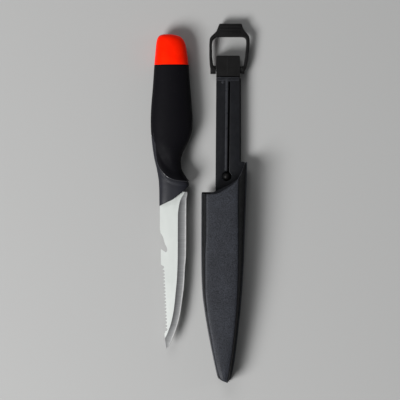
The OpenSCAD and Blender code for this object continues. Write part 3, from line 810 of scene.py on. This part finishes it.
def build_blade():
    """Flats, ground bevels and honed edge, mirrored about the middle plane, and the tang."""
    low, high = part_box("blade")
    thick = (high[2] - low[2]) / MM / 2
    points, faces, kinds, painted_bevel_light = blade_faces(thick)
    mesh = bpy.data.meshes.new("blade_skin")
    mesh.from_pydata(points, [], faces)
    for polygon, kind in zip(mesh.polygons, kinds):
        polygon.material_index = kind
    # The 'ground' attribute carries the painted bevel shade and highlight to the material.
    ground = mesh.attributes.new("ground", "FLOAT", "POINT")
    for i, share in painted_bevel_light.items():
        ground.data[i].value = share
    bm = bmesh.new()
    bm.from_mesh(mesh)
    bmesh.ops.recalc_face_normals(bm, faces=bm.faces)
    bm.to_mesh(mesh)
    bm.free()
    piece = add_piece("blade_skin", mesh, KNIFE, 20)
    bm = bmesh.new()
    bm.from_mesh(mesh)
    for e in bm.edges:
        if len({f.material_index for f in e.link_faces}) > 1:
            e.smooth = False
    bm.to_mesh(mesh)
    bm.free()
    dress(piece, "knife", "steel", STEEL_FLAT, STEEL_GROUND, STEEL_HONED)
    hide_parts("blade")
    tang = plate("tang", fillet([(-7, 4), (2, 4), (2, 88), (-7, 88)], [0.3, 0.3, 4, 4]), [],
                 -thick, thick, 0.1)
    root = add_piece("blade_tang", tang, KNIFE, 30)
    dress(root, "knife", "steel", STEEL_FLAT)


# ---------------------------------------------------------------- sheath

# Outlines of the shell hold [y, w] rows, and FACE_Z holds the face's height.
TIP = -131.2
SLOPE_START = 4
PLATE_T = 2.2
BEAD_H = 0.5
PLATE_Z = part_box("sheath_back")[1][2] / MM - BEAD_H - PLATE_T
STRAP_TOP = PLATE_Z + PLATE_T
OUT_LEFT = [[TIP, -0.2], [-130.6, -2.2], [-129.8, -4.4], [-128.8, -6.4], [-127.6, -7.1],
            [-121.4, -8.6], [-110.5, -10.9], [-94.1, -14.1], [-80.6, -16.35], [-66.9, -18.1],
            [-50, -18.9], [-31, -19.05], [31, -18.8]]
OUT_RIGHT = [[TIP, 0.4], [-130.7, 1.4], [-129.8, 2.1], [-128.4, 2.7], [-121.4, 4.5],
             [-106, 6.8], [-89.6, 8.6], [-76, 10], [-57.8, 11.4], [-39.5, 12.3], [-17, 13.1],
             [1.4, 13.8], [31, 14.7]]
FACE_LEFT = [[TIP, -0.1], [-129.8, -3.4], [-128.8, -5], [-127.6, -5.9], [-94, -12.9],
             [-80, -15.2], [-62, -16.6], [-40, -16.6], [-21, -15.9], [31, -15.9]]
FACE_RIGHT = [[TIP, 0.3], [-129.8, 0.4], [-128.4, 0.7], [-106, 4.1], [-85, 6.4],
              [-67, 7.6], [-39.5, 8.2], [-21.5, 8.2], [1.4, 8], [31, 9]]
FACE_Z = [[TIP, 15.5], [-129.8, 17], [-128, 17.9], [-100, 21.2], [-60, 25], [-20, 27.8],
          [5, 28.8], [31, 29]]
MOUTH = through([[-22, 6.6], [-15, 6.4], [-9.3, 6.4], [-6, 7.3], [-2.7, 9.2], [0.5, 11], [3.8, 13.3],
                 [6.7, 16.2], [9, 19.2], [11, 22.7], [12.3, 26.3], [13.2, 29], [15.5, 30.4]])
WALL = 1.6
FLANGE_LEFT, FLANGE_RIGHT, FLANGE_T = 0.6, 1.1, 1.1
CORNER = 2.4


def plate_low(y):
    """Underside of the back plate, which slopes down to the floor at the tip."""
    return PLATE_Z * clamp((y + 126) / (SLOPE_START + 126))


def bend(a, c, b, r, steps=6):
    """Points that round the corner at c between its neighbours a and b."""
    a, c, b = Vector(a), Vector(c), Vector(b)
    r = min(r, (a - c).length * 0.45, (b - c).length * 0.45)
    p, q = c + (a - c).normalized() * r, c + (b - c).normalized() * r
    return [tuple((1 - t) ** 2 * p + 2 * t * (1 - t) * c + t * t * q)
            for t in [k / steps for k in range(steps + 1)]]


def between(a, b, count):
    """Points strictly between two ends."""
    return [tuple(mix(p, q, k / (count + 1)) for p, q in zip(a, b)) for k in range(1, count + 1)]


def shell_section(y):
    """Outside of the shell at y as (w, z) points, right flange to left flange."""
    left, right = hermite(OUT_LEFT, y), hermite(OUT_RIGHT, y)
    z = plate_low(y) + PLATE_T
    full = min(1.0, (right - left) / 12)
    a = (left + FLANGE_LEFT * full, z + FLANGE_T)
    b = (hermite(FACE_LEFT, y), hermite(FACE_Z, y))
    c = (hermite(FACE_RIGHT, y), hermite(FACE_Z, y))
    d = (right - FLANGE_RIGHT * full, z + FLANGE_T)
    soft = 0.3 * full + 0.02
    k = min(CORNER, (c[0] - b[0]) / 3)
    wide = c[0] - b[0]
    corner_r = bend(d, c, b, k)
    corner_l = bend(c, b, a, k)
    top = []
    for p in between(corner_r[-1], corner_l[0], 9):
        s = (p[0] - b[0]) / wide
        top.append((p[0], p[1] + 0.25 * full * math.sin(math.pi * clamp(s))))
    foot_r = bend((right, z + FLANGE_T), d, c, 0.5 * full + 0.01, 3)
    foot_l = bend(b, a, (left, z + FLANGE_T), 0.25 * full + 0.01, 3)
    out = [(right, z)] + bend((right, z), (right, z + FLANGE_T), d, soft, 3)
    out += foot_r + between(foot_r[-1], corner_r[0], 5) + corner_r + top + corner_l
    out += between(corner_l[-1], foot_l[0], 5) + foot_l
    out += bend(a, (left, z + FLANGE_T), (left, z), soft, 3) + [(left, z)]
    return out


def hollow_section(y):
    """Inside of the shell at y, left base to right base."""
    left = hermite(OUT_LEFT, y) + FLANGE_LEFT + WALL
    right = hermite(OUT_RIGHT, y) - FLANGE_RIGHT - WALL
    z = plate_low(y) + PLATE_T
    close = smooth_step((y + 128.6) / 2.2)
    top = z + (hermite(FACE_Z, y) - WALL - z) * close + 0.01
    left, right = min(left, right - 0.5), max(right, left + 0.5)
    a, d = (left, z), (right, z)
    b = (max(left + 0.1, hermite(FACE_LEFT, y) + 0.9 * WALL), top)
    c = (min(right - 0.1, hermite(FACE_RIGHT, y) - 0.9 * WALL), top)
    if c[0] < b[0] + 0.2:
        middle = (b[0] + c[0]) / 2
        b, c = (middle - 0.1, top), (middle + 0.1, top)
    corner_l, corner_r = bend(a, b, c, 1.2), bend(b, c, d, 1.2)
    return ([a] + between(a, corner_l[0], 4) + corner_l + between(corner_l[-1], corner_r[0], 6) + corner_r
            + between(corner_r[-1], d, 4) + [d])


def shell_look(face):
    """0 for the grained face, 1 for the smooth side walls, darker as painted shade, 2 for the flanges and the
    mouth's rim, lighter as painted highlight.
    """
    w, y, z = face.center.x / MM - SHEATH[0], face.center.y / MM, face.center.z / MM
    flange = hermite(OUT_RIGHT, y) - FLANGE_RIGHT
    # Side walls get the darker copy, painted shade.
    if face.normal.x > 0.5 and hermite(FACE_RIGHT, y) - 0.4 < w < flange + 0.2:
        return 1
    if face.normal.x < -0.5 and w < hermite(FACE_LEFT, y) + 0.4:
        return 1
    # Flange tops and the mouth's rim get the lighter copy, painted highlight.
    outermost = w >= flange - 0.1 or w < hermite(OUT_LEFT, y) + 1.1
    if face.normal.z > 0.3 and outermost and z < hermite(FACE_Z, y) - 3:
        return 2
    return 2 if face.normal.y > 0.7 and y > 5.5 else 0


def build_shell():
    """Front shell: outside, a rounded rim along the oblique mouth, and the hollow."""
    rim_r = 0.45
    outer_count, inner_count = len(shell_section(0)), len(hollow_section(0))

    def column(section, index):
        def at(y):
            w, z = section(y)[index]
            return w, y, z
        low, high = 0.0, 34.0
        for _ in range(24):
            y = (low + high) / 2
            if y < line_y(MOUTH, at(y)[0]):
                low = y
            else:
                high = y
        return at, (low + high) / 2

    def lengthways(start):
        return spread(start, -124, 110, 1.15) + tail

    tail = [-126, -127, -127.6, -128.1, -128.5, -128.8, -129.3, -129.8, -130.2, -130.5, -130.8,
            -131.05, TIP]
    wall_points = 17
    columns = []
    for index in range(outer_count):
        at, y = column(shell_section, index)
        rows = [at(v) for v in lengthways(y - rim_r)]
        inward = Vector((0, 0, -1))
        if index < wall_points:
            inward = Vector((-1, 0, 0))
        elif index >= outer_count - wall_points:
            inward = Vector((1, 0, 0))
        start = Vector(rows[0])
        rim = [tuple(start + Vector((0, rim_r * math.sin(a), 0)) + inward * rim_r * (1 - math.cos(a)))
               for a in [math.radians(q) for q in (90, 67, 45, 22)]]
        columns.append(rim + rows)
    for index in range(inner_count):
        at, y = column(hollow_section, index)
        rows = [at(v) for v in lengthways(y - 0.02)]
        columns.append([rows[0]] * 4 + rows)
    mesh = lofted("sheath_shell_skin", list(zip(*columns)))
    piece = add_piece("sheath_shell_skin", mesh, SHEATH, 38)
    dress(piece, "sheath", "sheath_plastic", SHELL, SHELL_WALL_SHADE, SHELL_RIM_HIGHLIGHT)
    for face in piece.data.polygons:
        face.material_index = shell_look(face)
    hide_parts("sheath_shell")


STRAP_LEFT, STRAP_RIGHT, STRAP_END = -8.6, 9.2, 92.2
SLOT_HIGH, SLOT_LOW, SLOT_W = (1.5, 88.6), (0.8, 20.0), 1.4
SNAP, SNAP_R = (-0.4, 19.5), 3.5
BEAD_FROM_SLOT = 1.7
BAR_Y = 90.9
SHOULDER_LOW = 7.9


def keyhole():
    """Outline of the strap's slot and its round end, as one loop."""
    a0 = math.asin((SLOT_LOW[0] + SLOT_W / 2 - SNAP[0]) / SNAP_R)
    a1 = math.asin((SLOT_LOW[0] - SLOT_W / 2 - SNAP[0]) / SNAP_R)
    loop = [(SLOT_HIGH[0] - SLOT_W / 2, SLOT_HIGH[1]), (SLOT_HIGH[0] + SLOT_W / 2, SLOT_HIGH[1])]
    turns = 40
    for k in range(turns + 1):
        a = mix(a0, 2 * math.pi + a1, k / turns)
        loop.append((SNAP[0] + SNAP_R * math.sin(a), SNAP[1] + SNAP_R * math.cos(a)))
    return loop


def bar_shape(name, a, b, width, low, high, soft):
    """A straight raised bead from a to b."""
    d = (Vector(b) - Vector(a)).normalized()
    n = Vector((-d.y, d.x)) * width / 2
    corners = [Vector(a) - n, Vector(b) - n, Vector(b) + n, Vector(a) + n]
    return plate(name, fillet(corners, 0.3, 3), [], low, high, soft)


def build_back():
    """Back plate with its shoulder, and the strap with its keyhole, bead and cross bar."""
    outline = [(-18.75, SLOPE_START - 0.6), (13.8, SLOPE_START - 0.6), (14.45, 24), (14.1, 28.4),
               (12.4, 30.2), (STRAP_RIGHT, 30.2), (STRAP_RIGHT, STRAP_END), (STRAP_LEFT + 0.6, STRAP_END),
               (STRAP_LEFT, SHOULDER_LOW), (-18.7, SHOULDER_LOW)]
    radii = [0.1, 0.1, 0.5, 2, 1.2, 0.7, 0.2, 0.2, 1.2, 0.8]
    strap = plate("strap", fillet(outline, radii), [keyhole()], PLATE_Z, STRAP_TOP, 0.3)
    bead = bar_shape("bead", (SLOT_HIGH[0] - BEAD_FROM_SLOT, BAR_Y),
                     (SLOT_LOW[0] - BEAD_FROM_SLOT, SNAP[1] + SNAP_R + 0.3), 1.9,
                     STRAP_TOP - 0.6, STRAP_TOP + BEAD_H, 0.45)
    bars = [bar_shape("bar", (STRAP_LEFT + 0.8, y), (STRAP_RIGHT - 0.4, y), 1.1, STRAP_TOP - 0.6,
                      STRAP_TOP + BEAD_H, 0.4) for y in (BAR_Y + 0.55, BAR_Y - 1.1)]
    lump = plate("lump", circle(-3.2, 88.3, 1.0, 24), [], STRAP_TOP - 0.6, STRAP_TOP + 0.4, 0.35)
    # The ridges wear the lighter bead material, a painted highlight.
    ridges = add_piece("sheath_bead_skin", combined(bead, bars + [lump]), SHEATH, 35)
    dress(ridges, "sheath", "strap_plastic", BEAD_HIGHLIGHT)
    piece = add_piece("sheath_strap_skin", strap, SHEATH, 35)
    dress(piece, "sheath", "strap_plastic", STRAP)
    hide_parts("sheath_back")

    ys = [TIP, -131, -130.7, -130.4, -130, -129.5, -129, -128.5, -128, -127.5]
    ys += spread(-126, SLOPE_START, 60)
    rings = []
    for y in ys:
        left, right = hermite(OUT_LEFT, y), hermite(OUT_RIGHT, y)
        low, high = plate_low(y), plate_low(y) + PLATE_T
        s = min(0.3, (right - left) / 4)
        corners = [(left, low), (right, low), (right, high), (left, high)]
        ring = []
        for i, c in enumerate(corners):
            ring += bend(corners[i - 1], c, corners[(i + 1) % 4], s, 3)
        rings.append([(w, y, z) for w, z in ring])
    back = add_piece("sheath_plate_skin", lofted("sheath_plate_skin", rings), SHEATH, 40)
    dress(back, "sheath", "sheath_plastic", SHELL)


# The bail's outline and opening, as (w, y).
BAIL_OUT = [[-8.3, 94.3], [-10.8, 95.8], [-12.3, 98.1], [-12.8, 101], [-13.1, 107.2], [-13.1, 116],
            [-12.8, 120.2], [-11.7, 122], [-9.3, 124.1], [-7.8, 125.6], [-6.8, 128.4], [-5.7, 131.2],
            [10.6, 131.2], [11.6, 127.7], [12.9, 125.6], [14.9, 123.5], [16.2, 121.6], [16.6, 118.6],
            [16.3, 113], [15.3, 103.8], [14.3, 99.3], [13.2, 97], [10.9, 94.8]]
BAIL_IN = [[-8.3, 99.5], [-9.9, 100.2], [-10.6, 103], [-11, 107], [-11.1, 116], [-10.5, 119], [-9, 120.7],
           [-6.5, 121.4], [10.4, 121.4], [12.8, 120.9], [13.9, 119.2], [14, 116.5], [13, 106],
           [12.2, 100.6], [10.9, 99.9]]


def build_bail():
    """Locking bail: a flat loop with a ridged thumb tab and two round feet."""
    _, y, z = centre_mm("bail_axle")
    half, foot_r = 2.4, 3.1
    outline = BAIL_OUT + BAIL_IN[::-1]
    radii = [0.3] + [1.5] * 10 + [0.7, 0.7] + [1.5] * 9 + [0.3, 0.3] + [1.5] * 13 + [0.3]
    loop = plate("loop", fillet(outline, radii, 4), [], z - half, z + half, 0.7)
    feet = [rod_x(-12.3, -8.3, y, z, foot_r), rod_x(10.9, 12.6, y, z, foot_r)]
    ridges = [bar_shape("ridge", (-5, r), (9.8, r), 1.1, z + half - 0.5, z + half + 0.5, 0.3)
              for r in (124.6, 127.1, 129.4)]
    mesh = combined(loop, feet + ridges)
    piece = add_piece("bail_skin", mesh, SHEATH, 35)
    dress(piece, "bail", "block_plastic", BLOCK)
    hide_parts("bail")


def build_tongue():
    """Belt tongue: a flat moulding with a round-cornered foot and its knuckle."""
    low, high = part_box("belt_tongue")
    pin = centre_mm("tongue_pin")
    thick, top = 2.2, 91.4
    hinge_left, hinge_right = -5.2, 6.5
    left, right = low[0] / MM - SHEATH[0], high[0] / MM - SHEATH[0]
    foot = low[1] / MM
    outline = [(left, top), (left, foot), (right, foot), (right, top)]
    flat = plate("flat", fillet(outline, [0.4, 6, 6, 0.4], 10), [], 0, thick, 0.3)
    neck = plate("neck", [(hinge_left, top - 1), (hinge_right, top - 1), (hinge_right, pin[1]),
                          (hinge_left, pin[1])], [], 0, thick, 0.1)
    knuckle = rod_x(hinge_left, hinge_right, pin[1], thick, thick, 0.15)
    mesh = combined(flat, [neck, knuckle])
    piece = add_piece("belt_tongue_skin", mesh, SHEATH, 35)
    dress(piece, "tongue", "strap_plastic", STRAP)
    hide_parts("belt_tongue")


def build_block_line():
    """Fine raised line, lighter than the block, down the middle of the head block's top."""
    low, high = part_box("head_block")
    top = high[2] / MM
    line = bar_shape("block_line", (0, low[1] / MM + 0.6), (0, high[1] / MM - 0.6), 0.4, top - 0.1,
                     top + 0.12, 0.05)
    piece = add_piece("block_line", line, SHEATH, 35)
    dress(piece, "sheath", "block_plastic", BLOCK_LINE)


def dress_cad_nodes():
    """CAD nodes whose own shape is right get their material, and the head block a small bevel."""
    looks = {"tang_pins": STEEL_BRIGHT, "bail_axle": STEEL_BRIGHT, "tongue_pin": STEEL_BRIGHT,
             "cap_seal": RUBBER, "bail_spacer": RUBBER, "float_front": FOAM, "float_back": FOAM,
             "snap_stud": BLOCK, "head_block": BLOCK}
    for node, look in looks.items():
        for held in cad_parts[node].material_slots:
            held.material = look
    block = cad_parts["head_block"]
    block.modifiers.new("joined", "WELD").merge_threshold = 0.001 * MM
    bevel = block.modifiers.new("soft edges", "BEVEL")
    bevel.width = 0.35 * MM
    bevel.segments = 3
    bevel.limit_method = "ANGLE"
    bevel.angle_limit = math.radians(40)


# ---------------------------------------------------------------- stage

# The camera looks straight down; FIELD is the width in view at the height FOCUS_Z, in metres.
VIEW_CENTRE = (-0.0002, 0.0021)
FIELD = 0.292
DISTANCE = 1.8
FOCUS_Z = 0.012


def soft_light(name, place, target, size, power):
    light = bpy.data.lights.new(name, "AREA")
    light.shape = "RECTANGLE"
    light.size, light.size_y = size
    light.energy = power
    lamp = bpy.data.objects.new(name, light)
    lamp.location = place
    lamp.rotation_euler = (Vector(target) - Vector(place)).to_track_quat("-Z", "Y").to_euler()
    bpy.context.scene.collection.objects.link(lamp)


def build_stage():
    scene = bpy.context.scene
    cam = bpy.data.cameras.new("camera")
    cam.sensor_width = 36
    cam.lens = cam.sensor_width * (DISTANCE - FOCUS_Z) / FIELD
    cam.clip_start, cam.clip_end = 0.05, 20
    camera = bpy.data.objects.new("camera", cam)
    camera.location = (*VIEW_CENTRE, DISTANCE)
    scene.collection.objects.link(camera)
    scene.camera = camera

    mesh = bpy.data.meshes.new("floor")
    reach = 1.5
    mesh.from_pydata([(-reach, -reach, 0), (reach, -reach, 0), (reach, reach, 0), (-reach, reach, 0)],
                     [], [(0, 1, 2, 3)])
    floor = bpy.data.objects.new("floor", mesh)
    scene.collection.objects.link(floor)
    look, _, _ = material("floor", (0.38, 0.38, 0.376), 0.9, specular=0.1)
    floor.data.materials.append(look)

    soft_light("key", (-1.2, -0.9, 1.4), (0, 0, 0), (0.9, 0.9), 62)
    soft_light("fill", (-0.5, 1.3, 1.6), (0, 0, 0), (1.0, 1.0), 9)
    soft_light("rim", (1.5, 0.2, 0.35), (0.02, 0, 0.01), (0.2, 1.6), 2.5)
    world = bpy.data.worlds.new("world")
    world.use_nodes = True
    world.node_tree.nodes["Background"].inputs["Color"].default_value = (0.88, 0.9, 0.92, 1)
    world.node_tree.nodes["Background"].inputs["Strength"].default_value = 0.12
    scene.world = world
    scene.view_settings.view_transform = "Standard"


build_stage()
build_grip()
build_core(1, "core_front_skin", "core_front")
build_core(-1, "core_back_skin", "core_back")
build_cap()
build_blade()
build_shell()
build_back()
build_bail()
build_tongue()
build_block_line()
dress_cad_nodes()
